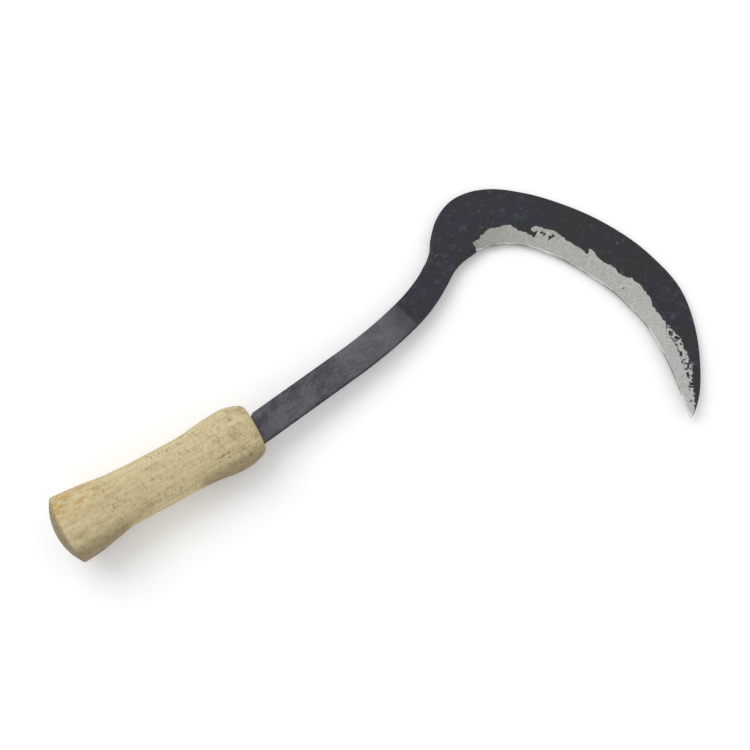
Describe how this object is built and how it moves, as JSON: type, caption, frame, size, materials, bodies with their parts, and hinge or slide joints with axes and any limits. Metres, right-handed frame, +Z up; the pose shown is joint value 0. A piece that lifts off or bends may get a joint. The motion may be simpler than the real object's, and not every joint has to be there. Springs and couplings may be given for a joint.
{
  "type": "sickle",
  "caption": "Hand sickle with a turned wooden grip, a flat grey iron shank and a black forged blade hooked over with a bright ground bevel along its inner edge.",
  "frame": {"origin": "bottom centre of the bounding box, on the ground that the tool lies on", "axes": "+X from the butt of the grip towards the blade, level with the ground; +Y towards the outer back of the blade's heel; +Z up from the ground"},
  "size_m": [0.4184, 0.2024, 0.0488],
  "materials": {
    "grip_wood": "bare turned hardwood, dry and slightly grubby",
    "shank_iron": "flat rolled bar, dull grey",
    "blade_steel": "blue-black forge scale with a bright ground bevel"
  },
  "bodies": {
    "root": {"handle": "grip_wood", "shank": "shank_iron", "blade": "blade_steel"}
  },
  "joints": []
}
